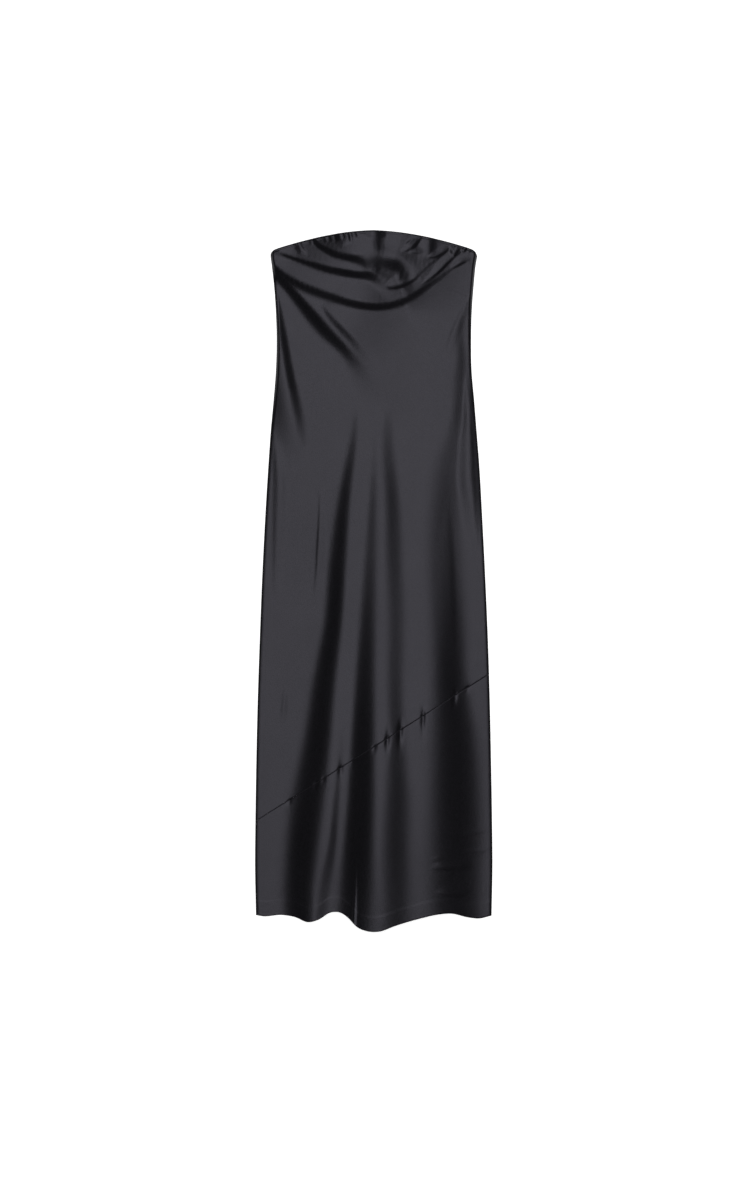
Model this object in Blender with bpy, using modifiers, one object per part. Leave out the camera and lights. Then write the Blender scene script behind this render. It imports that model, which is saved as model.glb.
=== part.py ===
"""A strapless satin maxi dress, laid flat on its back: four cloth panels cut on the bias.

Each front panel is a grid between its cut edges, raised by the tables of flutes and folds, with
its wall from Solidify. The back panels lie flat under them. Metres, +X to the right as seen from
above, +Y from the hem to the neckline, +Z up from the surface that the dress lies on.
"""

from collections import namedtuple
import math

import bmesh
import bpy
import numpy as np

# Cloth
WALL = 0.0012  # thickness of each panel
GAP = 0.0003  # clearance between the front and the back
SATIN_COLOR = (0.014, 0.013, 0.016, 1.0)
SATIN_ROUGHNESS = 0.4

# Neckline: the front rises in an arc, and the back stays lower behind it
NECK_CENTRE_Y = 0.630
NECK_HALF_WIDTH = 0.179
NECK_CORNER_X = 0.185
FRONT_NECK_RISE = 0.034
BACK_NECK_RISE = 0.016
NECK_ARC_POWER = 1.74  # between a tent and a parabola
NECK_CORNER_DROP = 0.006  # the rounded corner at each side
NECK_CORNER_POWER = 60
NECK_CORNER_REACH = 1.01  # the corner's curve is held past this share of NECK_CORNER_X

# The diagonal seam, at the dress's left and right edge
SEAM_LEFT = (-0.2120, -0.432)
SEAM_RIGHT = (0.2120, -0.164)
SEAM_GAP = 0.0004  # clearance along y between the panels that meet there

# The hidden back hem, a little shorter than the front
BACK_HEM_SIDE_Y = -0.599
BACK_HEM_LIFT = 0.009

# Heights
FLAT_LIFT = 0.0015  # what the front rises over the back where it has no fold
SIDE_FALL = 0.016  # the front comes down to the back over this width

# Grid of each panel: columns, rows, and how much the rows crowd towards the neckline
FRONT_UPPER_GRID = (44, 38, 1.5)
FRONT_LOWER_GRID = (44, 8, 1.0)
BACK_UPPER_GRID = (10, 16, 1.0)
BACK_LOWER_GRID = (10, 4, 1.0)
EDGE_ROUNDS = 12  # rounds that settle x and y where a row meets the side edges

# Crests
CREST_STEPS = 24  # points along a crest
LOWEST_CREST = 0.000001
NEAR_BLEND = 0.0003  # a place reads the pieces of crest about as near as the nearest
FAR_BLEND = 0.08

Station = namedtuple("Station", "name y left right")
STATIONS = (
    Station("hem", -0.602, -0.2112, 0.2122),
    Station("above the hem", -0.512, -0.2129, 0.2138),
    Station("calf", -0.431, -0.2122, 0.2131),
    Station("knee", -0.323, -0.2106, 0.2113),
    Station("above the knee", -0.215, -0.2081, 0.2090),
    Station("mid thigh", -0.107, -0.2045, 0.2057),
    Station("thigh", 0.001, -0.2003, 0.2011),
    Station("hip", 0.109, -0.1949, 0.1957),
    Station("high hip", 0.217, -0.1883, 0.1895),
    Station("below the waist", 0.271, -0.1845, 0.1852),
    Station("low waist", 0.325, -0.1795, 0.1809),
    Station("waist", 0.379, -0.1753, 0.1762),
    Station("above the waist", 0.433, -0.1739, 0.1753),
    Station("under the bust", 0.487, -0.1755, 0.1766),
    Station("bust", 0.541, -0.1796, 0.1807),
    Station("below the neckline", 0.566, -0.1825, 0.1832),
    Station("neckline", 0.584, -0.1848, 0.1862),
)

HemPoint = namedtuple("HemPoint", "name x y")
FRONT_HEM = (
    HemPoint("left corner", -0.2120, -0.6010),
    HemPoint("left flat", -0.2000, -0.6032),
    HemPoint("left flat end", -0.1640, -0.6010),
    HemPoint("small lobe start", -0.1400, -0.6050),
    HemPoint("small lobe", -0.1180, -0.6135),
    HemPoint("small lobe end", -0.0980, -0.6085),
    HemPoint("lift between the lobes", -0.0780, -0.5965),
    HemPoint("lift end", -0.0560, -0.5980),
    HemPoint("big lobe start", -0.0440, -0.6070),
    HemPoint("big lobe corner", -0.0320, -0.6200),
    HemPoint("big lobe", -0.0120, -0.6291),
    HemPoint("big lobe middle", 0.0090, -0.6300),
    HemPoint("big lobe end", 0.0400, -0.6195),
    HemPoint("gentle rise", 0.0800, -0.6078),
    HemPoint("right lift", 0.1170, -0.5996),
    HemPoint("right lift end", 0.1400, -0.5982),
    HemPoint("right flat", 0.1700, -0.6052),
    HemPoint("right flat end", 0.1900, -0.6073),
    HemPoint("right corner", 0.2130, -0.6020),
)

# A flute's flank is a step: going from the left to the right the cloth rises, or falls where the
# rise is negative, between a start and an end. steepest: where on the way it is steepest, from 0 to
# 1. places: (y, x of the start, x of the end, rise), from the hem up.
Step = namedtuple("Step", "name steepest places")
FLUTES = (
    Step("left flute, rising", 0.56,
         ((-0.629, -0.178, -0.099, 0.0115), (-0.485, -0.182, -0.087, 0.0165),
          (-0.395, -0.173, -0.074, 0.0170), (-0.287, -0.148, -0.065, 0.0146),
          (-0.071, -0.103, -0.049, 0.0090), (0.145, -0.076, -0.036, 0.0047),
          (0.316, -0.038, -0.024, 0.0000))),
    Step("crease beside the left flute", 0.50,
         ((-0.629, -0.117, -0.078, -0.0032), (-0.485, -0.090, -0.061, -0.0028),
          (-0.395, -0.078, -0.056, -0.0017), (-0.233, -0.063, -0.045, 0.0000))),
    Step("middle flute, rising", 0.46,
         ((-0.629, -0.078, 0.013, 0.0135), (-0.485, -0.065, 0.016, 0.0170),
          (-0.395, -0.056, 0.016, 0.0160), (-0.179, -0.042, 0.016, 0.0092),
          (0.037, -0.024, 0.016, 0.0033), (0.271, -0.004, 0.009, 0.0000))),
    Step("middle flute, falling", 0.47,
         ((-0.629, 0.004, 0.087, -0.0084), (-0.395, 0.009, 0.081, -0.0076),
          (-0.287, 0.018, 0.069, -0.0046), (0.037, 0.011, 0.067, -0.0052),
          (0.253, 0.007, 0.047, -0.0028), (0.325, 0.016, 0.038, 0.0000))),
    Step("right flute, falling", 0.54,
         ((-0.629, 0.063, 0.220, -0.0210), (-0.395, 0.070, 0.214, -0.0195),
          (-0.179, 0.085, 0.184, -0.0128), (0.037, 0.070, 0.178, -0.0099),
          (0.217, 0.085, 0.178, -0.0062), (0.325, 0.133, 0.171, -0.0027),
          (0.487, 0.151, 0.168, 0.0000))),
)

# A fold is a crest with a steep flank on one side and a long gentle one on the other.
# steep_side: "left" or "right" of the way the crest runs. steepest: where on the steep flank it is
# steepest, 0 at the crest and 1 at the foot. gentle: the mean slope of the gentle flank.
# crest: (x, y, width of the steep flank, height), in order along the crest.
Fold = namedtuple("Fold", "name steep_side steepest gentle crest")
FOLDS = (
    Fold("cowl under the neckline", "right", 0.45, 0.05,
         ((-0.186, 0.577, 0.004, 0.0000), (-0.160, 0.558, 0.015, 0.0024),
          (-0.122, 0.540, 0.027, 0.0054), (-0.074, 0.524, 0.029, 0.0062),
          (-0.020, 0.509, 0.025, 0.0064), (0.043, 0.511, 0.022, 0.0044),
          (0.095, 0.538, 0.015, 0.0017), (0.153, 0.575, 0.006, 0.0000))),
    Fold("upper cowl", "right", 0.42, 0.05,
         ((-0.162, 0.592, 0.006, 0.0000), (-0.124, 0.580, 0.015, 0.0036),
          (-0.081, 0.572, 0.024, 0.0070), (-0.031, 0.563, 0.027, 0.0079),
          (0.020, 0.550, 0.020, 0.0052), (0.058, 0.533, 0.009, 0.0000))),
    Fold("fold under the neckline", "right", 0.45, 0.05,
         ((-0.107, 0.616, 0.008, 0.0009), (-0.081, 0.597, 0.022, 0.0050),
          (-0.052, 0.590, 0.027, 0.0076), (-0.025, 0.588, 0.038, 0.0075),
          (0.000, 0.595, 0.057, 0.0078), (0.027, 0.597, 0.047, 0.0096),
          (0.056, 0.589, 0.045, 0.0098), (0.081, 0.581, 0.072, 0.0068),
          (0.128, 0.579, 0.083, 0.0016), (0.153, 0.579, 0.083, 0.0000))),
    Fold("drop at the centre of the neckline", "left", 0.50, 0.04,
         ((-0.005, 0.638, 0.032, 0.0044), (-0.005, 0.595, 0.032, 0.0046),
          (0.013, 0.568, 0.047, 0.0026), (0.049, 0.548, 0.054, 0.0000))),
    Fold("left pull to the bust", "right", 0.42, 0.053,
         ((-0.181, 0.563, 0.007, 0.0000), (-0.142, 0.529, 0.024, 0.0045),
          (-0.094, 0.480, 0.037, 0.0074), (-0.057, 0.438, 0.033, 0.0062),
          (-0.023, 0.401, 0.025, 0.0028), (0.011, 0.359, 0.022, 0.0000))),
    Fold("left side", "left", 0.45, 0.10,
         ((-0.182, 0.534, 0.007, 0.0003), (-0.176, 0.469, 0.022, 0.0032),
          (-0.166, 0.397, 0.025, 0.0042), (-0.153, 0.325, 0.030, 0.0044),
          (-0.139, 0.253, 0.029, 0.0016), (-0.128, 0.217, 0.015, 0.0000))),
)


def smooth_curve(positions, values, at):
    """A cubic curve through the values, with each slope taken from the neighbours."""
    positions, values = np.asarray(positions), np.asarray(values)
    slopes = np.gradient(values, positions)
    i = np.clip(np.searchsorted(positions, at) - 1, 0, len(positions) - 2)
    step = positions[i + 1] - positions[i]
    u = np.clip((at - positions[i]) / step, 0.0, 1.0)
    start = values[i] * (1 + 2 * u) * (1 - u) ** 2 + slopes[i] * step * u * (1 - u) ** 2
    end = values[i + 1] * u**2 * (3 - 2 * u) - slopes[i + 1] * step * u**2 * (1 - u)
    return start + end


def ease(value):
    """0 to 1 with a flat start and end."""
    value = np.clip(value, 0.0, 1.0)
    return value**2 * (3 - 2 * value)


def long_ease(value):
    """0 to 1 with a longer start and end, and steeper between them."""
    value = np.clip(value, 0.0, 1.0)
    return value**3 * (10 - 15 * value + 6 * value**2)


def side_edges(y):
    """X of the left and the right edge at a height y of the dress."""
    ys = [station.y for station in STATIONS]
    left = smooth_curve(ys, [station.left for station in STATIONS], y)
    right = smooth_curve(ys, [station.right for station in STATIONS], y)
    return left, right


def neckline(x, rise):
    outward = np.abs(x) / NECK_HALF_WIDTH
    to_corner = np.minimum(np.abs(x) / NECK_CORNER_X, NECK_CORNER_REACH)
    corner = NECK_CORNER_DROP * to_corner**NECK_CORNER_POWER
    below_front = FRONT_NECK_RISE - rise
    return NECK_CENTRE_Y - below_front - rise * outward**NECK_ARC_POWER - corner


def front_neck(x):
    return neckline(x, FRONT_NECK_RISE)


def back_neck(x):
    return neckline(x, BACK_NECK_RISE)


def front_hem(x):
    return smooth_curve([point.x for point in FRONT_HEM], [point.y for point in FRONT_HEM], x)


def back_hem(x):
    return BACK_HEM_SIDE_Y + BACK_HEM_LIFT * (1 - (x / SEAM_RIGHT[0]) ** 2)


def seam(x):
    slope = (SEAM_RIGHT[1] - SEAM_LEFT[1]) / (SEAM_RIGHT[0] - SEAM_LEFT[0])
    return SEAM_LEFT[1] + slope * (x - SEAM_LEFT[0])


def above_seam(x):
    return seam(x) + SEAM_GAP / 2


def below_seam(x):
    return seam(x) - SEAM_GAP / 2


def crest_line(crest):
    """The crest's x, y, width and height at evenly read points on a smooth curve."""
    points = np.array(crest)
    runs = np.hypot(*np.diff(points[:, :2], axis=0).T)
    along = np.concatenate([[0.0], np.cumsum(runs)])
    at = np.linspace(0.0, along[-1], CREST_STEPS)
    return [smooth_curve(along, column, at) for column in points.T]


def beside_line(line_x, line_y, x, y):
    """Distance from the line, positive on the left of the way it runs, and the place along it.

    Both are blended over the pieces of line about as near, more so far off, where the inside of
    a bend would otherwise show as a crease.
    """
    run_x, run_y = np.diff(line_x), np.diff(line_y)
    from_x, from_y = x[:, None] - line_x[:-1], y[:, None] - line_y[:-1]
    share = np.clip((from_x * run_x + from_y * run_y) / (run_x**2 + run_y**2), 0.0, 1.0)
    off_x, off_y = from_x - share * run_x, from_y - share * run_y
    distance = np.hypot(off_x, off_y)
    side = np.sign(run_x * off_y - run_y * off_x)
    shortest = distance.min(axis=1, keepdims=True)
    weight = np.exp((shortest - distance) / (NEAR_BLEND + FAR_BLEND * shortest))
    weight /= weight.sum(axis=1, keepdims=True)
    along = (np.arange(len(run_x)) + share) / len(run_x)
    return (weight * distance * side).sum(axis=1), (weight * along).sum(axis=1)


def rise_share(share, steepest):
    """0 to 1, steepest at that share of the way."""
    return long_ease(share ** (math.log(0.5) / math.log(steepest)))


def fold_height(fold, x, y):
    line_x, line_y, line_width, line_height = crest_line(fold.crest)
    reach = max(line_width.max(), line_height.max() / fold.gentle)
    near = (x > line_x.min() - reach) & (x < line_x.max() + reach)
    near &= (y > line_y.min() - reach) & (y < line_y.max() + reach)
    height = np.zeros_like(x)
    if not near.any():
        return height
    beside, along = beside_line(line_x, line_y, x[near], y[near])
    if fold.steep_side == "right":
        beside = -beside
    places = np.linspace(0.0, 1.0, CREST_STEPS)
    width = np.interp(along, places, line_width)
    crest = np.maximum(np.interp(along, places, line_height), LOWEST_CREST)
    steep = 1 - rise_share(np.clip(beside / width, 0.0, 1.0), fold.steepest)
    gentle = 1 - ease(-beside * fold.gentle / crest)
    height[near] = crest * np.where(beside > 0, steep, gentle)
    return height


def flutes_height(x, y):
    """The steps' height. An even slope over the whole width takes each back to its start."""
    left, right = side_edges(y)
    across = (x - left) / (right - left)
    height = np.zeros_like(x)
    for step in FLUTES:
        places = np.array(step.places).T
        start, end, rise = (smooth_curve(places[0], column, y) for column in places[1:])
        share = np.clip((x - start) / (end - start), 0.0, 1.0)
        height += rise * (rise_share(share, step.steepest) - across)
    return height


def front_underside(x, y):
    """Height of the front's lower face over the surface: the back's wall, the gap and the folds."""
    left, right = side_edges(y)
    from_side = ease(np.minimum(x - left, right - x) / SIDE_FALL)
    folds = flutes_height(x, y) + sum(fold_height(fold, x, y) for fold in FOLDS)
    return WALL + GAP + from_side * (FLAT_LIFT + np.maximum(folds, 0.0))


def back_underside(x, y):
    return np.zeros_like(x)


def panel_places(edges, grid, underside):
    """The grid's points, with its outer lines on the panel's edges."""
    lower_edge, upper_edge = edges
    columns, rows, crowding = grid
    across = np.linspace(0.0, 1.0, columns + 1)
    up = 1 - (1 - np.linspace(0.0, 1.0, rows + 1)) ** crowding
    across, up = (each.ravel() for each in np.meshgrid(across, up))
    x = np.zeros_like(across)
    for _ in range(EDGE_ROUNDS):
        y = lower_edge(x) + up * (upper_edge(x) - lower_edge(x))
        left, right = side_edges(y)
        x = left + across * (right - left)
    return np.stack([x, y, underside(x, y)], axis=-1)


def satin(name):
    material = bpy.data.materials.new(name)
    material.use_nodes = True
    shader = material.node_tree.nodes["Principled BSDF"]
    shader.inputs["Base Color"].default_value = SATIN_COLOR
    shader.inputs["Roughness"].default_value = SATIN_ROUGHNESS
    shader.inputs["Metallic"].default_value = 0.0
    return material


def add_panel(collection, name, edges, grid, underside):
    """One panel: a grid moved to its place and height, with its wall on top of that."""
    shape = bmesh.new()
    bmesh.ops.create_grid(shape, x_segments=grid[0], y_segments=grid[1], size=1.0)
    # create_grid numbers its points row by row, as panel_places does.
    shape.verts.ensure_lookup_table()
    for vertex, place in zip(shape.verts, panel_places(edges, grid, underside)):
        vertex.co = place
    bmesh.ops.recalc_face_normals(shape, faces=shape.faces)
    if shape.faces[0].normal.z < 0:
        bmesh.ops.reverse_faces(shape, faces=shape.faces)
    mesh = bpy.data.meshes.new(name)
    shape.to_mesh(mesh)
    shape.free()
    mesh.materials.append(satin(name))
    panel = bpy.data.objects.new(name, mesh)
    collection.objects.link(panel)
    wall = panel.modifiers.new("wall", "SOLIDIFY")
    wall.thickness = WALL
    wall.offset = 1.0
    return panel


def main():
    for old in list(bpy.data.objects):
        bpy.data.objects.remove(old, do_unlink=True)
    dress = bpy.data.collections.new("strapless_maxi_dress")
    bpy.context.scene.collection.children.link(dress)
    add_panel(dress, "back_lower", (back_hem, below_seam), BACK_LOWER_GRID, back_underside)
    add_panel(dress, "back_upper", (above_seam, back_neck), BACK_UPPER_GRID, back_underside)
    add_panel(dress, "front_lower", (front_hem, below_seam), FRONT_LOWER_GRID, front_underside)
    add_panel(dress, "front_upper", (above_seam, front_neck), FRONT_UPPER_GRID, front_underside)


main()
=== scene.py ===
"""A strapless bias-cut maxi dress in charcoal satin, laid flat on its back on a white ground.

Each panel is a fine grid between its cut edges. Its height is the sum of the folds in the tables
below, the way the cloth rounds down at its side edges, and the finish of its neckline, hem and
seam. Metres, in the frame of the CAD: +X right, +Y from the hem to the neckline, +Z up.
"""

import math
from collections import namedtuple

import bpy
import numpy as np
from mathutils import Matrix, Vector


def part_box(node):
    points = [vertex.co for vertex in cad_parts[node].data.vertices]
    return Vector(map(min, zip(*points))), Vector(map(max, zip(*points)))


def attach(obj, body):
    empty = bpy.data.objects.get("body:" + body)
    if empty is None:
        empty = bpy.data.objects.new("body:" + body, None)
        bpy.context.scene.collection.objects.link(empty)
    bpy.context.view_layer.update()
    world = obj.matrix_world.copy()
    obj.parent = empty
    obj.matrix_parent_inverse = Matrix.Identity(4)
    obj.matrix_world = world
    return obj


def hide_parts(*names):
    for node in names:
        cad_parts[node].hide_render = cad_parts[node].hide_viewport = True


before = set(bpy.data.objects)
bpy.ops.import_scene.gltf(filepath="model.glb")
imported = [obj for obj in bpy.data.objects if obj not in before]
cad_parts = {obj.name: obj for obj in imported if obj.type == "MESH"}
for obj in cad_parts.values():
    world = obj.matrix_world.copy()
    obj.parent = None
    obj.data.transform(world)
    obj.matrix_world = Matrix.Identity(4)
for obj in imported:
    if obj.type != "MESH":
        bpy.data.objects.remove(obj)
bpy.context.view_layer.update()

# Cloth
THICK = 0.0005  # the satin's thickness
GAP = 0.0003  # the front's side edges clear the back's by this
NECK_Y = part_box("front_upper")[1].y  # top of the neckline's arc

# Neckline
NECK_HALF_WIDTH = 0.179
NECK_CORNER_X = 0.185
FRONT_NECK_RISE = 0.034
BACK_NECK_RISE = 0.016
NECK_ARC_POWER = 1.74
NECK_CORNER_DROP = 0.006  # at each end the neckline turns down to the side seam by this
NECK_CORNER_POWER = 60
NECK_CORNER_REACH = 1.01  # past this share of NECK_CORNER_X the turn gets no deeper

# The diagonal seam's ends, as x and y at the dress's left and right edge
SEAM_LEFT = (-0.2120, -0.432)
SEAM_RIGHT = (0.2120, -0.164)
SEAM_HALF_GAP = 0.00005

# The hidden back hem
BACK_HEM_SIDE_Y = -0.599
BACK_HEM_LIFT = 0.009  # it is higher at the centre by this

# The side edges: x of the left and of the right one at each height.
Station = namedtuple("Station", "name y left right")
STATIONS = (
    Station("hem", -0.602, -0.2112, 0.2122),
    Station("above the hem", -0.512, -0.2129, 0.2138),
    Station("calf", -0.431, -0.2122, 0.2131),
    Station("knee", -0.323, -0.2106, 0.2113),
    Station("above the knee", -0.215, -0.2081, 0.2090),
    Station("mid thigh", -0.107, -0.2045, 0.2057),
    Station("thigh", 0.001, -0.2003, 0.2011),
    Station("hip", 0.109, -0.1949, 0.1957),
    Station("high hip", 0.217, -0.1883, 0.1895),
    Station("below the waist", 0.271, -0.1845, 0.1852),
    Station("low waist", 0.325, -0.1795, 0.1809),
    Station("waist", 0.379, -0.1753, 0.1762),
    Station("above the waist", 0.433, -0.1739, 0.1753),
    Station("under the bust", 0.487, -0.1755, 0.1766),
    Station("bust", 0.541, -0.1796, 0.1807),
    Station("below the neckline", 0.566, -0.1825, 0.1832),
    Station("neckline", 0.584, -0.1848, 0.1862),
)

# The front's hem, from the left to the right.
HemPoint = namedtuple("HemPoint", "name x y")
FRONT_HEM = (
    HemPoint("left corner", -0.2120, -0.6010),
    HemPoint("left flat", -0.2000, -0.6032),
    HemPoint("left flat end", -0.1640, -0.6010),
    HemPoint("small lobe start", -0.1400, -0.6050),
    HemPoint("small lobe", -0.1180, -0.6135),
    HemPoint("small lobe end", -0.0980, -0.6085),
    HemPoint("lift between the lobes", -0.0780, -0.5965),
    HemPoint("lift end", -0.0560, -0.5980),
    HemPoint("big lobe start", -0.0440, -0.6070),
    HemPoint("big lobe corner", -0.0320, -0.6200),
    HemPoint("big lobe", -0.0120, -0.6291),
    HemPoint("big lobe middle", 0.0090, -0.6300),
    HemPoint("big lobe end", 0.0400, -0.6195),
    HemPoint("gentle rise", 0.0800, -0.6078),
    HemPoint("right lift", 0.1170, -0.5996),
    HemPoint("right lift end", 0.1400, -0.5982),
    HemPoint("right flat", 0.1700, -0.6052),
    HemPoint("right flat end", 0.1900, -0.6073),
    HemPoint("right corner", 0.2130, -0.6020),
)

# A flute's flank is a step: going from the left to the right the cloth rises, or falls where the
# rise is negative, between a start and an end. steepest: where on the way it is steepest, from 0 to
# 1. places: (y, x of the start, x of the end, rise), from the hem up.
Step = namedtuple("Step", "name steepest places")

FLUTES = (
    Step("left flute, rising", 0.56,
         ((-0.629, -0.1780, -0.0990, 0.0115), (-0.557, -0.1820, -0.0970, 0.0135),
          (-0.485, -0.1820, -0.0865, 0.0165), (-0.395, -0.1730, -0.0740, 0.0170),
          (-0.287, -0.1475, -0.0650, 0.0146), (-0.179, -0.1280, -0.0575, 0.0118),
          (-0.071, -0.1025, -0.0485, 0.0090), (0.037, -0.0935, -0.0415, 0.0077),
          (0.145, -0.0755, -0.0360, 0.0047), (0.253, -0.0520, -0.0250, 0.0017),
          (0.316, -0.0380, -0.0235, 0.0000))),
    Step("crease beside the left flute", 0.5,
         ((-0.629, -0.1170, -0.0775, -0.0032), (-0.557, -0.1080, -0.0685, -0.0031),
          (-0.485, -0.0900, -0.0610, -0.0028), (-0.395, -0.0775, -0.0560, -0.0017),
          (-0.287, -0.0665, -0.0485, -0.0004), (-0.233, -0.0630, -0.0450, 0.0000))),
    Step("middle flute, rising", 0.46,
         ((-0.629, -0.0775, 0.0125, 0.0135), (-0.557, -0.0720, 0.0160, 0.0155),
          (-0.485, -0.0650, 0.0160, 0.0170), (-0.395, -0.0560, 0.0160, 0.0160),
          (-0.287, -0.0485, 0.0160, 0.0130), (-0.179, -0.0415, 0.0160, 0.0092),
          (-0.071, -0.0325, 0.0160, 0.0058), (0.037, -0.0235, 0.0160, 0.0033),
          (0.145, -0.0125, 0.0125, 0.0016), (0.217, -0.0070, 0.0110, 0.0005),
          (0.271, -0.0035, 0.0090, 0.0000))),
    Step("middle flute, falling", 0.47,
         ((-0.629, 0.0035, 0.0865, -0.0084), (-0.557, 0.0035, 0.0865, -0.0087),
          (-0.485, 0.0035, 0.0830, -0.0085), (-0.395, 0.0090, 0.0810, -0.0076),
          (-0.287, 0.0180, 0.0685, -0.0046), (-0.179, 0.0160, 0.0650, -0.0040),
          (-0.071, 0.0145, 0.0700, -0.0044), (0.037, 0.0110, 0.0665, -0.0052),
          (0.145, 0.0110, 0.0595, -0.0052), (0.253, 0.0070, 0.0470, -0.0028),
          (0.325, 0.0160, 0.0380, 0.0000))),
    Step("right flute, falling", 0.54,
         ((-0.629, 0.0630, 0.2195, -0.0210), (-0.557, 0.0630, 0.2195, -0.0210),
          (-0.485, 0.0665, 0.2180, -0.0203), (-0.395, 0.0700, 0.2140, -0.0195),
          (-0.287, 0.0775, 0.2035, -0.0172), (-0.179, 0.0845, 0.1835, -0.0128),
          (-0.071, 0.0790, 0.1820, -0.0117), (0.037, 0.0700, 0.1780, -0.0099),
          (0.145, 0.0720, 0.1765, -0.0083), (0.217, 0.0845, 0.1780, -0.0062),
          (0.253, 0.1080, 0.1745, -0.0040), (0.289, 0.1280, 0.1675, -0.0028),
          (0.325, 0.1330, 0.1710, -0.0027), (0.361, 0.1330, 0.1745, -0.0029),
          (0.397, 0.1405, 0.1730, -0.0024), (0.433, 0.1420, 0.1690, -0.0016),
          (0.487, 0.1510, 0.1675, 0.0000))),
)

# A fold is a crest with a steep flank on one side and a long gentle one on the other.
# steep_side: "left" or "right" of the way the crest runs. steepest: where on the steep flank it is
# steepest, 0 at the crest and 1 at the foot. gentle: the mean slope of the gentle flank, up to
# the crest's highest place, past which that flank keeps its width.
# crest: (x, y, width of the steep flank, height), in order along the crest.
Fold = namedtuple("Fold", "name steep_side steepest gentle crest")

SKIRT_FOLDS = (
    Fold("crease in the middle flute", "left", 0.5, 0.25,
         ((-0.0335, -0.4905, 0.0035, 0.0000), (-0.0335, -0.5445, 0.0055, 0.0007),
          (-0.0350, -0.5950, 0.0065, 0.0014), (-0.0380, -0.6455, 0.0080, 0.0020))),
    Fold("ridge in the right flute", "left", 0.45, 0.015,
         ((0.1315, 0.1360, 0.0090, 0.0000), (0.1330, 0.0730, 0.0145, 0.0003),
          (0.1360, 0.0010, 0.0160, 0.0004), (0.1385, -0.0710, 0.0145, 0.0003),
          (0.1420, -0.1340, 0.0090, 0.0000))),
    Fold("left side crease", "right", 0.35, 0.04,
         ((-0.0965, 0.1755, 0.0035, 0.0000), (-0.0965, 0.1180, 0.0055, 0.0005),
          (-0.0990, 0.0605, 0.0070, 0.0008), (-0.1025, 0.0100, 0.0055, 0.0005),
          (-0.1080, -0.0350, 0.0035, 0.0000))),
    Fold("small left crease", "right", 0.35, 0.06,
         ((-0.1585, -0.1900, 0.0035, 0.0000), (-0.1610, -0.2150, 0.0070, 0.0006),
          (-0.1640, -0.2365, 0.0070, 0.0005), (-0.1655, -0.2545, 0.0035, 0.0000))),
    Fold("pressed crease at the right edge", "right", 0.5, 0.05,
         ((0.1565, -0.4475, 0.0035, 0.0000), (0.1710, -0.4510, 0.0055, 0.0003),
          (0.1925, -0.4520, 0.0045, 0.0003), (0.2035, -0.4510, 0.0035, 0.0000))),
    Fold("pressed crease under it", "right", 0.5, 0.05,
         ((0.1585, -0.4835, 0.0035, 0.0000), (0.1745, -0.4860, 0.0055, 0.0003),
          (0.1960, -0.4850, 0.0055, 0.0003), (0.2090, -0.4835, 0.0035, 0.0000))),
    Fold("short pressed crease", "right", 0.5, 0.05,
         ((0.1010, -0.4985, 0.0035, 0.0000), (0.1135, -0.4985, 0.0055, 0.0003),
          (0.1315, -0.4985, 0.0035, 0.0000))),
    Fold("long pressed crease", "right", 0.5, 0.05,
         ((0.1010, -0.5140, 0.0035, 0.0000), (0.1150, -0.5140, 0.0065, 0.0005),
          (0.1420, -0.5150, 0.0070, 0.0006), (0.1675, -0.5140, 0.0055, 0.0003),
          (0.1780, -0.5120, 0.0035, 0.0000))),
    Fold("pressed crease over the hem", "right", 0.5, 0.05,
         ((0.1100, -0.5590, 0.0055, 0.0000), (0.1240, -0.5600, 0.0090, 0.0005),
          (0.1495, -0.5625, 0.0090, 0.0005), (0.1745, -0.5590, 0.0055, 0.0000))),
    Fold("left edge hollow", "right", 0.5, 0.06,
         ((-0.1800, 0.2655, 0.0055, 0.0000), (-0.1730, 0.2260, 0.0110, 0.0007),
          (-0.1690, 0.1810, 0.0160, 0.0010), (-0.1700, 0.1270, 0.0160, 0.0009),
          (-0.1730, 0.0550, 0.0125, 0.0006), (-0.1765, -0.0350, 0.0070, 0.0000))),
    Fold("right edge roll", "left", 0.5, 0.1,
         ((0.1655, 0.3755, 0.0055, 0.0000), (0.1690, 0.3250, 0.0110, 0.0010),
          (0.1700, 0.2890, 0.0125, 0.0012), (0.1700, 0.2530, 0.0160, 0.0019),
          (0.1700, 0.2170, 0.0200, 0.0022), (0.1710, 0.1810, 0.0215, 0.0024),
          (0.1745, 0.1450, 0.0200, 0.0018), (0.1820, 0.0910, 0.0110, 0.0006),
          (0.1870, 0.0550, 0.0070, 0.0000))),
)

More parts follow.
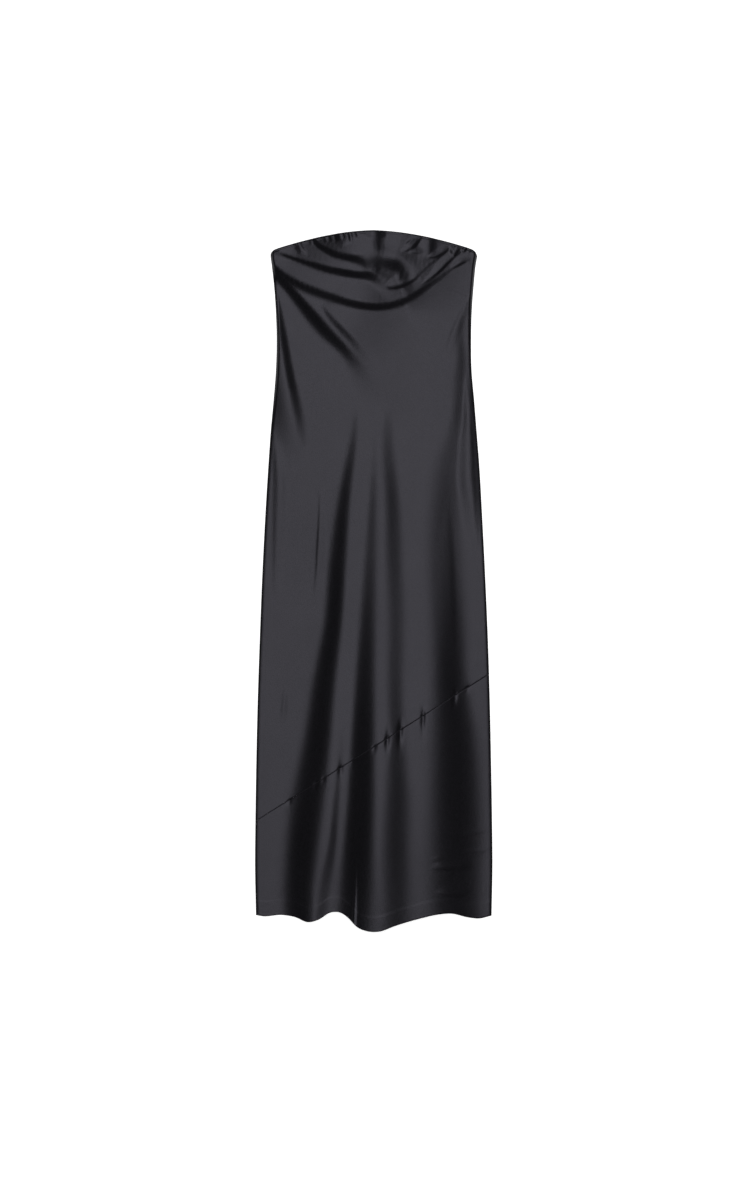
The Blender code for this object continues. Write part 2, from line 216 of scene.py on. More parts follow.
COWL_FOLDS = (
    Fold("cowl under the neckline", "right", 0.45, 0.035,
         ((-0.1870, 0.5815, 0.0145, 0.0028), (-0.1745, 0.5700, 0.0170, 0.0034),
          (-0.1600, 0.5590, 0.0205, 0.0040), (-0.1420, 0.5485, 0.0235, 0.0048),
          (-0.1225, 0.5400, 0.0270, 0.0055), (-0.1025, 0.5330, 0.0295, 0.0060),
          (-0.0740, 0.5225, 0.0290, 0.0062), (-0.0470, 0.5125, 0.0260, 0.0064),
          (-0.0200, 0.5060, 0.0250, 0.0063), (0.0090, 0.5035, 0.0245, 0.0056),
          (0.0430, 0.5085, 0.0225, 0.0038), (0.0685, 0.5200, 0.0190, 0.0023),
          (0.0955, 0.5370, 0.0155, 0.0015), (0.1225, 0.5530, 0.0110, 0.0008),
          (0.1385, 0.5635, 0.0070, 0.0004), (0.1530, 0.5750, 0.0055, 0.0000))),
    Fold("upper cowl", "right", 0.42, 0.04,
         ((-0.1925, 0.6130, 0.0290, 0.0024), (-0.1745, 0.6005, 0.0290, 0.0028),
          (-0.1600, 0.5920, 0.0145, 0.0030), (-0.1475, 0.5865, 0.0125, 0.0034),
          (-0.1240, 0.5805, 0.0170, 0.0045), (-0.1025, 0.5750, 0.0205, 0.0055),
          (-0.0810, 0.5695, 0.0235, 0.0065), (-0.0560, 0.5650, 0.0250, 0.0072),
          (-0.0305, 0.5605, 0.0250, 0.0074), (-0.0125, 0.5590, 0.0260, 0.0070),
          (0.0020, 0.5560, 0.0305, 0.0065), (0.0180, 0.5515, 0.0395, 0.0058),
          (0.0340, 0.5470, 0.0540, 0.0050), (0.0520, 0.5445, 0.0685, 0.0042),
          (0.0775, 0.5480, 0.0790, 0.0032), (0.1100, 0.5590, 0.0900, 0.0018),
          (0.1475, 0.5735, 0.0900, 0.0006), (0.1745, 0.5840, 0.0900, 0.0000))),
    Fold("right arm of the upper cowl", "right", 0.5, 0.1,
         ((0.0200, 0.5295, 0.0055, 0.0000), (0.0325, 0.5315, 0.0110, 0.0014),
          (0.0450, 0.5350, 0.0125, 0.0018), (0.0595, 0.5395, 0.0115, 0.0016),
          (0.0720, 0.5455, 0.0080, 0.0010), (0.0810, 0.5525, 0.0055, 0.0004),
          (0.0920, 0.5625, 0.0045, 0.0003), (0.1045, 0.5735, 0.0045, 0.0004),
          (0.1170, 0.5830, 0.0045, 0.0004), (0.1315, 0.5930, 0.0035, 0.0000))),
    Fold("crease beside the right arm", "right", 0.5, 0.1,
         ((0.0830, 0.5320, 0.0035, 0.0000), (0.0970, 0.5420, 0.0055, 0.0006),
          (0.1100, 0.5525, 0.0065, 0.0010), (0.1205, 0.5625, 0.0070, 0.0014),
          (0.1315, 0.5735, 0.0065, 0.0012), (0.1420, 0.5830, 0.0055, 0.0008),
          (0.1530, 0.5920, 0.0055, 0.0007), (0.1640, 0.5995, 0.0035, 0.0000))),
    Fold("fold under the neckline", "right", 0.45, 0.04,
         ((-0.1135, 0.6310, 0.0090, 0.0026), (-0.1055, 0.6175, 0.0090, 0.0028),
          (-0.0990, 0.6100, 0.0110, 0.0032), (-0.0900, 0.6045, 0.0135, 0.0039),
          (-0.0790, 0.6000, 0.0170, 0.0048), (-0.0665, 0.5960, 0.0215, 0.0059),
          (-0.0520, 0.5935, 0.0250, 0.0069), (-0.0380, 0.5915, 0.0270, 0.0075),
          (-0.0250, 0.5910, 0.0340, 0.0076), (-0.0125, 0.5920, 0.0520, 0.0077),
          (0.0000, 0.5940, 0.0575, 0.0081), (0.0125, 0.5945, 0.0520, 0.0091),
          (0.0270, 0.5920, 0.0505, 0.0106), (0.0415, 0.5880, 0.0505, 0.0116),
          (0.0540, 0.5840, 0.0520, 0.0114), (0.0650, 0.5805, 0.0720, 0.0106),
          (0.0845, 0.5770, 0.1295, 0.0092), (0.1100, 0.5735, 0.1655, 0.0076),
          (0.1420, 0.5735, 0.1890, 0.0060), (0.1855, 0.5735, 0.1980, 0.0044))),
    Fold("drop at the centre of the neckline", "left", 0.5, 0.03,
         ((-0.0065, 0.6380, 0.0340, 0.0040), (-0.0065, 0.6130, 0.0340, 0.0042),
          (-0.0055, 0.5965, 0.0340, 0.0042), (-0.0020, 0.5860, 0.0380, 0.0034),
          (0.0070, 0.5750, 0.0470, 0.0020), (0.0235, 0.5660, 0.0540, 0.0008),
          (0.0415, 0.5590, 0.0540, 0.0000))),
    Fold("turn at the top of the drop", "right", 0.5, 0.1,
         ((-0.0305, 0.6275, 0.0055, 0.0000), (-0.0160, 0.6270, 0.0110, 0.0010),
          (-0.0020, 0.6260, 0.0145, 0.0018), (0.0125, 0.6245, 0.0145, 0.0016),
          (0.0250, 0.6220, 0.0110, 0.0000))),
    Fold("left pull to the bust", "right", 0.42, 0.045,
         ((-0.1870, 0.5715, 0.0125, 0.0016), (-0.1655, 0.5485, 0.0180, 0.0034),
          (-0.1420, 0.5290, 0.0250, 0.0050), (-0.1180, 0.5050, 0.0315, 0.0064),
          (-0.0935, 0.4795, 0.0370, 0.0074), (-0.0740, 0.4575, 0.0370, 0.0072),
          (-0.0565, 0.4385, 0.0335, 0.0061), (-0.0395, 0.4195, 0.0315, 0.0045),
          (-0.0235, 0.4005, 0.0360, 0.0031), (-0.0020, 0.3770, 0.0505, 0.0018),
          (0.0305, 0.3430, 0.0720, 0.0007), (0.0665, 0.3070, 0.0790, 0.0000))),
    Fold("second pull to the bust", "right", 0.45, 0.012,
         ((-0.0920, 0.4970, 0.0070, 0.0000), (-0.0700, 0.4770, 0.0180, 0.0020),
          (-0.0520, 0.4600, 0.0215, 0.0029), (-0.0340, 0.4435, 0.0250, 0.0029),
          (-0.0180, 0.4285, 0.0325, 0.0025), (0.0020, 0.4095, 0.0470, 0.0018),
          (0.0305, 0.3825, 0.0650, 0.0010), (0.0700, 0.3465, 0.0720, 0.0000))),
    Fold("left side", "left", 0.45, 0.1,
         ((-0.1820, 0.5335, 0.0070, 0.0003), (-0.1810, 0.5050, 0.0170, 0.0021),
          (-0.1765, 0.4690, 0.0215, 0.0032), (-0.1710, 0.4330, 0.0235, 0.0039),
          (-0.1655, 0.3970, 0.0245, 0.0042), (-0.1600, 0.3610, 0.0270, 0.0046),
          (-0.1530, 0.3250, 0.0295, 0.0044), (-0.1465, 0.2890, 0.0325, 0.0034),
          (-0.1385, 0.2530, 0.0290, 0.0016), (-0.1280, 0.2170, 0.0145, 0.0000))),
    Fold("thin crease at the right side", "right", 0.4, 0.04,
         ((0.1765, 0.5210, 0.0035, 0.0000), (0.1620, 0.4905, 0.0070, 0.0005),
          (0.1510, 0.4655, 0.0090, 0.0006), (0.1385, 0.4330, 0.0090, 0.0005),
          (0.1315, 0.4040, 0.0055, 0.0000))),
    Fold("right crease from the neckline", "right", 0.5, 0.12,
         ((0.0485, 0.5940, 0.0035, 0.0000), (0.0595, 0.5965, 0.0070, 0.0013),
          (0.0685, 0.6020, 0.0080, 0.0019), (0.0755, 0.6095, 0.0080, 0.0017),
          (0.0830, 0.6185, 0.0065, 0.0008))),
    Fold("wrinkle above the right crease", "right", 0.5, 0.12,
         ((0.0395, 0.6005, 0.0035, 0.0000), (0.0540, 0.6030, 0.0045, 0.0004),
          (0.0665, 0.6100, 0.0045, 0.0005), (0.0740, 0.6175, 0.0035, 0.0000))),
    Fold("short right crease", "right", 0.5, 0.12,
         ((0.0610, 0.5905, 0.0035, 0.0000), (0.0700, 0.5925, 0.0080, 0.0011),
          (0.0810, 0.5925, 0.0080, 0.0011), (0.0900, 0.5895, 0.0035, 0.0000))),
    Fold("right drop below the neckline", "left", 0.4, 0.08,
         ((0.1000, 0.6145, 0.0200, 0.0018), (0.0990, 0.5985, 0.0200, 0.0018),
          (0.0990, 0.5860, 0.0160, 0.0014), (0.0990, 0.5770, 0.0090, 0.0000))),
    Fold("crease at the foot of the right drop", "right", 0.5, 0.12,
         ((0.0970, 0.5830, 0.0035, 0.0000), (0.1080, 0.5845, 0.0070, 0.0013),
          (0.1190, 0.5890, 0.0070, 0.0013), (0.1280, 0.5945, 0.0065, 0.0010),
          (0.1375, 0.6005, 0.0035, 0.0000))),
    Fold("short crease by the right arm", "right", 0.5, 0.12,
         ((0.1380, 0.6030, 0.0035, 0.0003), (0.1415, 0.5940, 0.0065, 0.0010),
          (0.1405, 0.5850, 0.0035, 0.0000))),
    Fold("leaning crease by the right arm", "right", 0.5, 0.12,
         ((0.1415, 0.5840, 0.0035, 0.0000), (0.1465, 0.5915, 0.0065, 0.0011),
          (0.1550, 0.6005, 0.0045, 0.0004))),
    Fold("outer right crease", "right", 0.5, 0.12,
         ((0.1370, 0.5615, 0.0035, 0.0000), (0.1475, 0.5680, 0.0070, 0.0011),
          (0.1565, 0.5735, 0.0070, 0.0014), (0.1655, 0.5765, 0.0055, 0.0006),
          (0.1745, 0.5780, 0.0035, 0.0000))),
    Fold("crease at the right corner", "right", 0.5, 0.12,
         ((0.1575, 0.5885, 0.0035, 0.0000), (0.1630, 0.5965, 0.0055, 0.0006),
          (0.1700, 0.6005, 0.0035, 0.0000))),
)

# Short gathers that run down from the neckline: x at the edge, how far x drifts as the gather
# runs down, its length, and the width and height of its flank.
Gather = namedtuple("Gather", "x drift length width height")
GATHERS = (
    Gather(-0.136, 0.015, 0.022, 0.008, 0.0014),
    Gather(-0.113, 0.004, 0.012, 0.006, 0.0006),
    Gather(-0.088, 0.005, 0.012, 0.006, 0.0005),
    Gather(-0.076, 0.005, 0.014, 0.006, 0.0007),
    Gather(-0.063, 0.006, 0.015, 0.008, 0.0015),
    Gather(-0.050, 0.007, 0.020, 0.009, 0.0024),
    Gather(-0.038, 0.008, 0.014, 0.008, 0.0013),
    Gather(0.150, -0.004, 0.010, 0.006, 0.0007),
    Gather(0.166, -0.006, 0.010, 0.006, 0.0008),
    Gather(0.174, -0.006, 0.008, 0.005, 0.0006),
)
GATHER_GENTLE = 0.12  # the mean slope of a gather's gentle flank
GATHER_START = 0.001  # a gather starts this far above the neckline
GATHER_BEND = (0.4, 0.5)  # its middle point's share of the drift, and of the length
GATHER_NARROWING = 0.7  # its flank's width at the end, as a share of the width before

# Puckers where the diagonal seam's stitches hold the cloth: x on the seam, width, length of the
# tail that runs down from it, and depth.
Pucker = namedtuple("Pucker", "x width tail depth")
SEAM_PUCKERS = (
    Pucker(-0.151, 0.008, 0.008, 0.0008),
    Pucker(-0.104, 0.009, 0.010, 0.0008),
    Pucker(-0.090, 0.007, 0.010, 0.0006),
    Pucker(-0.059, 0.008, 0.014, 0.0011),
    Pucker(-0.037, 0.007, 0.007, 0.0006),
    Pucker(0.002, 0.008, 0.009, 0.0009),
    Pucker(0.025, 0.008, 0.018, 0.0017),
    Pucker(0.048, 0.009, 0.022, 0.0020),
    Pucker(0.089, 0.007, 0.026, 0.0013),
    Pucker(0.146, 0.008, 0.014, 0.0014),
    Pucker(0.169, 0.009, 0.008, 0.0007),
)
PUCKER_SHARE_ABOVE = 0.35  # a pucker's length above the seam, as a share of its tail

# Long, shallow creases pressed into the hidden back: x and y at the middle, length, width, height,
# and lean, the x it moves by for each metre up.
BackCrease = namedtuple("BackCrease", "x y length width height lean")
BACK_CREASES = (
    BackCrease(-0.110, -0.330, 0.420, 0.030, 0.0009, 0.04),
    BackCrease(-0.020, -0.250, 0.560, 0.036, 0.0010, -0.03),
    BackCrease(0.070, -0.360, 0.360, 0.026, 0.0008, 0.05),
    BackCrease(0.130, -0.120, 0.520, 0.040, 0.0009, 0.08),
    BackCrease(-0.070, 0.180, 0.360, 0.024, 0.0007, 0.10),
    BackCrease(0.050, 0.300, 0.300, 0.022, 0.0007, -0.12),
    BackCrease(-0.120, 0.440, 0.220, 0.018, 0.0008, 0.30),
    BackCrease(0.110, 0.470, 0.240, 0.020, 0.0008, -0.26),
)
BACK_CREASE_FADE = 1.4  # over 1, a back crease keeps its height for longer before its ends

FRONT_LIFT = 0.0018  # what the front rises over the back where it has no fold
SIDE_SHOULDER = 0.0060  # the front rounds down to the side seam over this width
SIDE_FALL = 0.0045  # folds flatten over this width before the shoulder
NECK_RIM = 0.0050  # width of the turned rim along the neckline
NECK_RIM_HEIGHT = 0.0007
NECK_RIM_POWER = 0.8  # under 1, the rim is rounder than a sine
HEM_TURN = 0.026  # the hem is turned up to this height and stitched
HEM_TURN_HEIGHT = 0.0002
HEM_STITCH = 0.002  # the turn's height fades out over this
SEAM_DITCH = 0.0016  # the cloth dips over this width on each side of the diagonal seam
SEAM_DITCH_DEPTH = 0.00006
CREST_STEPS = 40  # points on each crest
LOWEST_CREST = 0.000001  # keeps a gentle flank's width above zero
NEAR_BLEND = 0.0003  # the pieces of a crest about as near are blended over this
FAR_BLEND = 0.08  # and over this share of the distance more


def ease(value):
    """0 to 1 with a flat start and end."""
    value = np.clip(value, 0.0, 1.0)
    return value**2 * (3 - 2 * value)


def long_ease(value):
    """0 to 1 with a longer start and end, and steeper between them."""
    value = np.clip(value, 0.0, 1.0)
    return value**3 * (10 - 15 * value + 6 * value**2)


def smooth_curve(positions, values, at):
    """A cubic curve through the values, with each slope taken from the neighbours."""
    positions, values = np.asarray(positions), np.asarray(values)
    slopes = np.gradient(values, positions)
    i = np.clip(np.searchsorted(positions, at) - 1, 0, len(positions) - 2)
    step = positions[i + 1] - positions[i]
    u = np.clip((at - positions[i]) / step, 0.0, 1.0)
    start = values[i] * (1 + 2 * u) * (1 - u) ** 2 + slopes[i] * step * u * (1 - u) ** 2
    end = values[i + 1] * u**2 * (3 - 2 * u) - slopes[i + 1] * step * u**2 * (1 - u)
    return start + end


# Cut edges


def side_edges(y):
    ys = [station.y for station in STATIONS]
    left = smooth_curve(ys, [station.left for station in STATIONS], y)
    right = smooth_curve(ys, [station.right for station in STATIONS], y)
    return left, right


def neckline(x, rise):
    """y of the neckline's edge: an arc as high as the rise, turned down at its ends."""
    outward = np.abs(x) / NECK_HALF_WIDTH
    to_corner = np.minimum(np.abs(x) / NECK_CORNER_X, NECK_CORNER_REACH)
    corner = NECK_CORNER_DROP * to_corner**NECK_CORNER_POWER
    return NECK_Y - (FRONT_NECK_RISE - rise) - rise * outward**NECK_ARC_POWER - corner


def front_neck(x):
    return neckline(x, FRONT_NECK_RISE)


def back_neck(x):
    return neckline(x, BACK_NECK_RISE)


def front_hem(x):
    return smooth_curve([point.x for point in FRONT_HEM], [point.y for point in FRONT_HEM], x)


def back_hem(x):
    return BACK_HEM_SIDE_Y + BACK_HEM_LIFT * (1 - (x / SEAM_RIGHT[0]) ** 2)


def seam(x):
    slope = (SEAM_RIGHT[1] - SEAM_LEFT[1]) / (SEAM_RIGHT[0] - SEAM_LEFT[0])
    return SEAM_LEFT[1] + slope * (x - SEAM_LEFT[0])


def above_seam(x):
    return seam(x) + SEAM_HALF_GAP


def below_seam(x):
    return seam(x) - SEAM_HALF_GAP


# Folds


def crest_line(crest):
    """x, y, width and height of evenly spaced points on a smooth curve through the crest."""
    points = np.array(crest)
    runs = np.hypot(*np.diff(points[:, :2], axis=0).T)
    along = np.concatenate([[0.0], np.cumsum(runs)])
    at = np.linspace(0.0, along[-1], CREST_STEPS)
    return [smooth_curve(along, column, at) for column in points.T]


def beside_line(line_x, line_y, x, y):
    """Distance from the line, positive on the left of the way it runs, and the place along it.

    Both are blended over the pieces of line about as near, more so far off, where the inside of
    a bend would otherwise show as a crease.
    """
    run_x, run_y = np.diff(line_x), np.diff(line_y)
    from_x, from_y = x[:, None] - line_x[:-1], y[:, None] - line_y[:-1]
    share = np.clip((from_x * run_x + from_y * run_y) / (run_x**2 + run_y**2), 0.0, 1.0)
    off_x, off_y = from_x - share * run_x, from_y - share * run_y
    distance = np.hypot(off_x, off_y)
    side = np.sign(run_x * off_y - run_y * off_x)
    shortest = distance.min(axis=1, keepdims=True)
    weight = np.exp((shortest - distance) / (NEAR_BLEND + FAR_BLEND * shortest))
    weight /= weight.sum(axis=1, keepdims=True)
    along = (np.arange(len(run_x)) + share) / len(run_x)
    return (weight * distance * side).sum(axis=1), (weight * along).sum(axis=1)


def rise_share(share, steepest):
    """0 to 1, steepest at that share of the way."""
    return long_ease(share ** (math.log(0.5) / math.log(steepest)))


def fold_height(fold, x, y):
    """Height of the fold: its crest's at the nearest place, less the further from the crest."""
    line_x, line_y, line_width, line_height = crest_line(fold.crest)
    line_flank = np.maximum(np.maximum.accumulate(line_height), LOWEST_CREST) / fold.gentle
    reach = max(line_width.max(), line_flank.max())
    near = (x > line_x.min() - reach) & (x < line_x.max() + reach)
    near &= (y > line_y.min() - reach) & (y < line_y.max() + reach)
    height = np.zeros_like(x)
    if not near.any():
        return height
    beside, along = beside_line(line_x, line_y, x[near], y[near])
    if fold.steep_side == "right":
        beside = -beside
    places = np.linspace(0.0, 1.0, CREST_STEPS)
    width = np.interp(along, places, line_width)
    flank = np.interp(along, places, line_flank)
    crest = np.maximum(np.interp(along, places, line_height), 0.0)
    steep = 1 - rise_share(np.clip(beside / width, 0.0, 1.0), fold.steepest)
    gentle = 1 - ease(-beside / flank)
    height[near] = crest * np.where(beside > 0, steep, gentle)
    return height


def gather_fold(gather):
    """The gather as a fold whose crest starts at the neckline and fades out below it."""
    top = float(front_neck(gather.x))
    middle_x = gather.x + GATHER_BEND[0] * gather.drift
    middle_y = top - GATHER_BEND[1] * gather.length
    end_width = GATHER_NARROWING * gather.width
    crest = (
        (gather.x, top + GATHER_START, gather.width, gather.height),
        (middle_x, middle_y, gather.width, gather.height),
        (gather.x + gather.drift, top - gather.length, end_width, 0.0),
    )
    return Fold("gather", "left", 0.5, GATHER_GENTLE, crest)


def flutes_height(x, y):
    """The steps' height. An even slope over the whole width takes each back to its start."""
    left, right = side_edges(y)
    across = (x - left) / (right - left)
    height = np.zeros_like(x)
    for step in FLUTES:
        places = np.array(step.places).T
        start, end, rise = (smooth_curve(places[0], column, y) for column in places[1:])
        share = np.clip((x - start) / (end - start), 0.0, 1.0)
        height += rise * (rise_share(share, step.steepest) - across)
    return height


def front_folds(x, y):
    gathers = [gather_fold(gather) for gather in GATHERS]
    folds = (*SKIRT_FOLDS, *COWL_FOLDS, *gathers)
    return flutes_height(x, y) + sum(fold_height(fold, x, y) for fold in folds)


def seam_finish(x, y, below):
    """The ditch along the diagonal seam and the puckers in it. Tails run down from the seam."""
    off = np.abs(seam(x) - y)
    height = -SEAM_DITCH_DEPTH * (1 - ease(off / SEAM_DITCH))
    for pucker in SEAM_PUCKERS:
        length = pucker.tail if below else PUCKER_SHARE_ABOVE * pucker.tail
        across = np.exp(-(((x - pucker.x) / (0.5 * pucker.width)) ** 2))
        down = np.exp(-((off / length) ** 2))
        height -= pucker.depth * across * down
    return height


def front_height(x, y, below):
    """Height of the front's underside."""
    left, right = side_edges(y)
    from_side = np.minimum(x - left, right - x)
    from_neck = front_neck(x) - y
    folds = front_folds(x, y) * ease(from_side / SIDE_FALL)
    shoulder = np.clip(from_side / SIDE_SHOULDER, 0.0, 1.0)
    lift = FRONT_LIFT * np.sqrt(1 - (1 - shoulder) ** 2)
    height = lift + folds
    if below:
        from_hem = y - front_hem(x)
        height += HEM_TURN_HEIGHT * (1 - ease((from_hem - HEM_TURN) / HEM_STITCH))
    else:
        rim = np.clip(from_neck / NECK_RIM, 0.0, 1.0)
        height += NECK_RIM_HEIGHT * np.sin(np.pi * rim) ** NECK_RIM_POWER
    height += seam_finish(x, y, below) * ease(from_side / SIDE_SHOULDER)
    return THICK + GAP + np.maximum(height, 0.0)


def front_upper_height(x, y):
    return front_height(x, y, below=False)


def front_lower_height(x, y):
    return front_height(x, y, below=True)


def back_height(x, y):
    """Height of the back's underside: flat on the surface but for its creases."""
    left, right = side_edges(y)
    height = np.zeros_like(x)
    for crease in BACK_CREASES:
        across = (x - crease.x - crease.lean * (y - crease.y)) / (0.5 * crease.width)
        along = (y - crease.y) / (0.5 * crease.length)
        fade = ease(BACK_CREASE_FADE * (1 - np.abs(along)))
        height += crease.height * np.exp(-(across**2)) * fade
    return height * ease(np.minimum(x - left, right - x) / SIDE_FALL)


# Panels

# The grids' bands, each as (share of the length, steps in it). They are finer at the edges that
# round down, and where the folds are small.
SIDE_BANDS = ((0.008, 5), (0.984, 216), (0.008, 5))
FRONT_UPPER_ROWS = ((0.006, 5), (0.734, 62), (0.24, 128), (0.02, 16))
FRONT_LOWER_ROWS = ((0.10, 18), (0.78, 110), (0.12, 20))
BACK_BANDS = ((0.012, 2), (0.976, 96), (0.012, 2))
BACK_UPPER_ROWS = ((1.0, 150),)
BACK_LOWER_ROWS = ((1.0, 60),)
EDGE_ROUNDS = 12  # an edge's y depends on x and the sides' x on y, so they are found in rounds


def spaced(bands):
    """Places from 0 to 1 for the bands."""
    places, start = [0.0], 0.0
    for share, steps in bands:
        places.extend(start + share * np.arange(1, steps + 1) / steps)
        start += share
    return np.array(places)


def panel_points(lower_edge, upper_edge, columns, rows, height):
    """The panel's grid of points between its cut edges, and the grid's shape."""
    across, up = np.meshgrid(spaced(columns), spaced(rows))
    x = np.zeros_like(across)
    for _ in range(EDGE_ROUNDS):
        y = lower_edge(x) + up * (upper_edge(x) - lower_edge(x))
        left, right = side_edges(y)
        x = left + across * (right - left)
    x, y = x.ravel(), y.ravel()
    return np.stack([x, y, height(x, y)], axis=-1), across.shape


def grid_faces(shape):
    rows, columns = shape
    corner = np.arange(rows * columns).reshape(rows, columns)[:-1, :-1].ravel()
    return np.stack([corner, corner + 1, corner + columns + 1, corner + columns], axis=-1)


def add_panel(node, edges, columns, rows, height, material):
    lower_edge, upper_edge = edges
    places, shape = panel_points(lower_edge, upper_edge, columns, rows, height)
    mesh = bpy.data.meshes.new(node + "_satin")
    mesh.from_pydata(places.tolist(), [], grid_faces(shape).tolist())
    mesh.polygons.foreach_set("use_smooth", np.ones(len(mesh.polygons), bool))
    mesh.materials.append(material)
    panel = bpy.data.objects.new(node + "_satin", mesh)
    bpy.context.scene.collection.objects.link(panel)
    wall = panel.modifiers.new("wall", "SOLIDIFY")
    wall.thickness = THICK
    wall.offset = 1.0
    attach(panel, "root")
    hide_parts(node)
    return panel


# Materials

SATIN_SPECULAR = 0.205
SATIN_TINT = (0.88, 0.855, 1.0, 1.0)
SATIN_ROUGHNESS = (0.30, 0.34)  # from blotch to blotch
BLOTCH_SCALE = 9.0
GRAIN_SCALE = 650.0
# The dye's colour at the low and the high places of the grain: (place on the ramp, colour)
DYE = (
    (0.3, (0.0004, 0.0004, 0.0005, 1.0)),
    (0.7, (0.0060, 0.0058, 0.0071, 1.0)),
)
GRAIN_BUMP = {"Strength": 0.6, "Distance": 0.0003}
GROUND_COLOR = (0.8, 0.8, 0.8, 1.0)
GROUND_GLOW = 0.75  # with the light on the ground, this makes it white to the eye


def add_node(tree, kind, **inputs):
    node = tree.nodes.new(kind)
    for name, value in inputs.items():
        node.inputs[name.replace("_", " ")].default_value = value
    return node


def satin():
    """Charcoal satin: a near-black dye under a broad, cool, soft gloss, with a fine grain."""
    material = bpy.data.materials.new("charcoal_satin")
    material.use_nodes = True
    tree = material.node_tree
    shader = tree.nodes["Principled BSDF"]
    shader.inputs["Specular IOR Level"].default_value = SATIN_SPECULAR
    shader.inputs["Specular Tint"].default_value = SATIN_TINT
    place = tree.nodes.new("ShaderNodeTexCoord")
    blotch = add_node(tree, "ShaderNodeTexNoise", Scale=BLOTCH_SCALE, Detail=3.0)
    tree.links.new(place.outputs["Object"], blotch.inputs["Vector"])
    gloss = tree.nodes.new("ShaderNodeMapRange")
    gloss.inputs["To Min"].default_value, gloss.inputs["To Max"].default_value = SATIN_ROUGHNESS
    tree.links.new(blotch.outputs["Fac"], gloss.inputs["Value"])
    tree.links.new(gloss.outputs["Result"], shader.inputs["Roughness"])
    grain = add_node(tree, "ShaderNodeTexNoise", Scale=GRAIN_SCALE, Detail=1.0)
    tree.links.new(place.outputs["Object"], grain.inputs["Vector"])
    dye = tree.nodes.new("ShaderNodeValToRGB")
    for element, (position, color) in zip(dye.color_ramp.elements, DYE):
        element.position = position
        element.color = color
    tree.links.new(grain.outputs["Fac"], dye.inputs["Fac"])
    tree.links.new(dye.outputs["Color"], shader.inputs["Base Color"])
    bump = add_node(tree, "ShaderNodeBump", **GRAIN_BUMP)
    tree.links.new(grain.outputs["Fac"], bump.inputs["Height"])
    tree.links.new(bump.outputs["Normal"], shader.inputs["Normal"])
    return material


def white_floor():
    """White to the camera and in reflections at any light, with the object's shadow still on it."""
    material = bpy.data.materials.new("white_ground")
    material.use_nodes = True
    tree = material.node_tree
    shader = tree.nodes["Principled BSDF"]
    shader.inputs["Base Color"].default_value = GROUND_COLOR
    shader.inputs["Roughness"].default_value = 1.0
    shader.inputs["Specular IOR Level"].default_value = 0.0
    shader.inputs["Emission Color"].default_value = (1.0, 1.0, 1.0, 1.0)
    ray = tree.nodes.new("ShaderNodeLightPath")
    seen = ray.outputs["Is Camera Ray"]
    for other in ("Is Glossy Ray", "Is Transmission Ray"):
        either = tree.nodes.new("ShaderNodeMath")
        either.operation = "MAXIMUM"
        tree.links.new(seen, either.inputs[0])
        tree.links.new(ray.outputs[other], either.inputs[1])
        seen = either.outputs[0]
    glow = tree.nodes.new("ShaderNodeMath")
    glow.operation = "MULTIPLY"
    glow.inputs[1].default_value = GROUND_GLOW
    tree.links.new(seen, glow.inputs[0])
    tree.links.new(glow.outputs[0], shader.inputs["Emission Strength"])
    return material


# Stage

CAMERA_HEIGHT = 12.0
VIEW_CENTRE = (0.0, -0.0342)
VIEW_LENGTH = 2.16  # the view's long side on the ground
SENSOR = 36.0  # millimetres
LIGHT_HEIGHT = 8.0
LIGHT_SIZE = (3.4, 8.0)  # across the dress and along it
LIGHT_CENTRE_Y = 2.0  # it reaches further past the neckline than past the hem
LIGHT_RADIANCE = 5.2
WORLD_LEVEL = 0.065  # the world's light from overhead
WALL_LEVEL = 0.8  # its light from near the horizon
WALL_FULL = 0.30  # the walls' light is full up to this height on a sphere of radius 1
WALL_TOP = 0.55  # and is gone above this one
FLOOR_SIZE = 80.0


def add_camera():
    camera = bpy.data.cameras.new("camera")
    camera.sensor_width = SENSOR
    camera.lens = SENSOR * CAMERA_HEIGHT / VIEW_LENGTH
    seen_from = bpy.data.objects.new("camera", camera)
    seen_from.location = (*VIEW_CENTRE, CAMERA_HEIGHT)
    bpy.context.scene.collection.objects.link(seen_from)
    bpy.context.scene.camera = seen_from


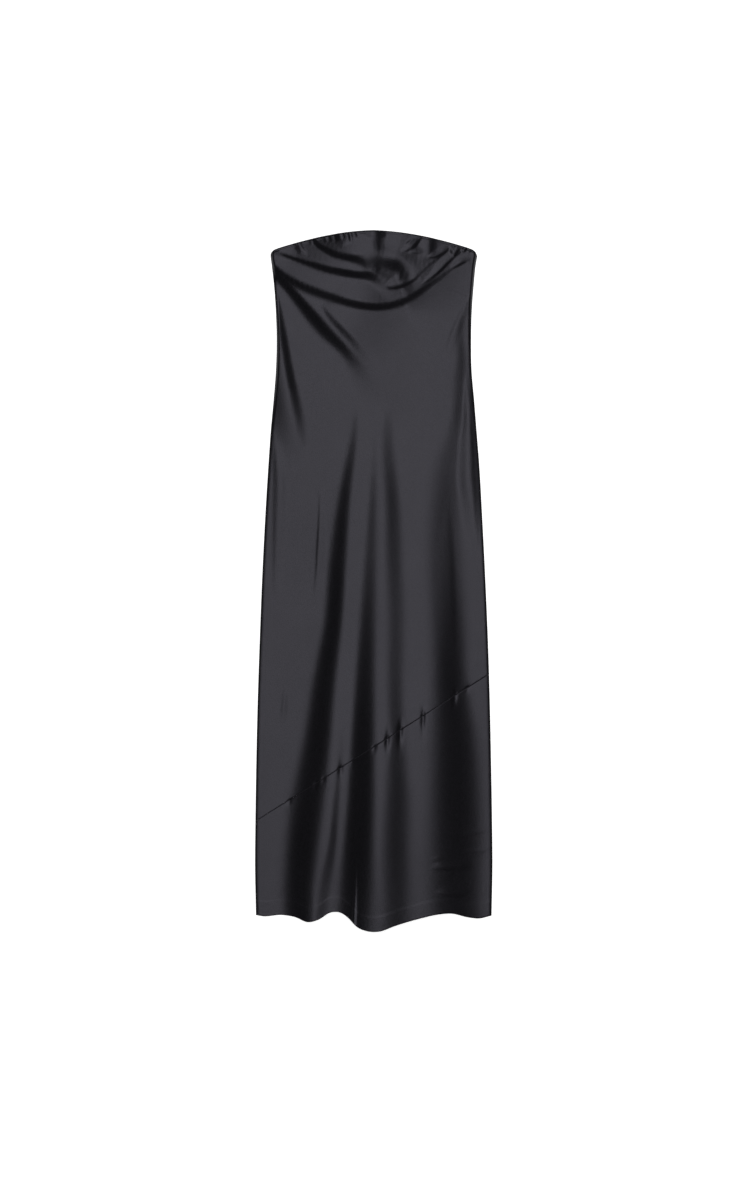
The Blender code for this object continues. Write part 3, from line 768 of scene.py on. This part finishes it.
def add_softbox():
    light = bpy.data.lights.new("softbox", "AREA")
    light.shape = "RECTANGLE"
    light.size, light.size_y = LIGHT_SIZE
    light.energy = LIGHT_RADIANCE * math.pi * LIGHT_SIZE[0] * LIGHT_SIZE[1]
    softbox = bpy.data.objects.new("softbox", light)
    softbox.location = (0.0, LIGHT_CENTRE_Y, LIGHT_HEIGHT)
    bpy.context.scene.collection.objects.link(softbox)


def add_world():
    """Dim overhead and brighter towards the horizon, like a studio's pale walls."""
    world = bpy.data.worlds.new("studio")
    world.use_nodes = True
    tree = world.node_tree
    background = tree.nodes["Background"]
    background.inputs["Color"].default_value = (1.0, 1.0, 1.0, 1.0)
    direction = tree.nodes.new("ShaderNodeTexCoord")
    axes = tree.nodes.new("ShaderNodeSeparateXYZ")
    tree.links.new(direction.outputs["Generated"], axes.inputs["Vector"])
    level = tree.nodes.new("ShaderNodeMapRange")
    level.interpolation_type = "SMOOTHSTEP"
    level.inputs["From Min"].default_value = WALL_FULL
    level.inputs["From Max"].default_value = WALL_TOP
    level.inputs["To Min"].default_value = WALL_LEVEL
    level.inputs["To Max"].default_value = WORLD_LEVEL
    tree.links.new(axes.outputs["Z"], level.inputs["Value"])
    tree.links.new(level.outputs["Result"], background.inputs["Strength"])
    bpy.context.scene.world = world


def add_floor():
    bpy.ops.mesh.primitive_plane_add(size=FLOOR_SIZE, location=(0.0, 0.0, 0.0))
    floor = bpy.context.object
    floor.name = "ground"
    floor.data.materials.append(white_floor())


def add_dress():
    cloth = satin()
    back_upper = add_panel(
        "back_upper", (above_seam, back_neck), BACK_BANDS, BACK_UPPER_ROWS, back_height, cloth
    )
    back_lower = add_panel(
        "back_lower", (back_hem, below_seam), BACK_BANDS, BACK_LOWER_ROWS, back_height, cloth
    )
    front_upper = add_panel(
        "front_upper", (above_seam, front_neck), SIDE_BANDS, FRONT_UPPER_ROWS,
        front_upper_height, cloth,
    )
    front_lower = add_panel(
        "front_lower", (front_hem, below_seam), SIDE_BANDS, FRONT_LOWER_ROWS,
        front_lower_height, cloth,
    )


bpy.context.scene.view_settings.view_transform = "Standard"
add_dress()
add_floor()
add_softbox()
add_world()
add_camera()
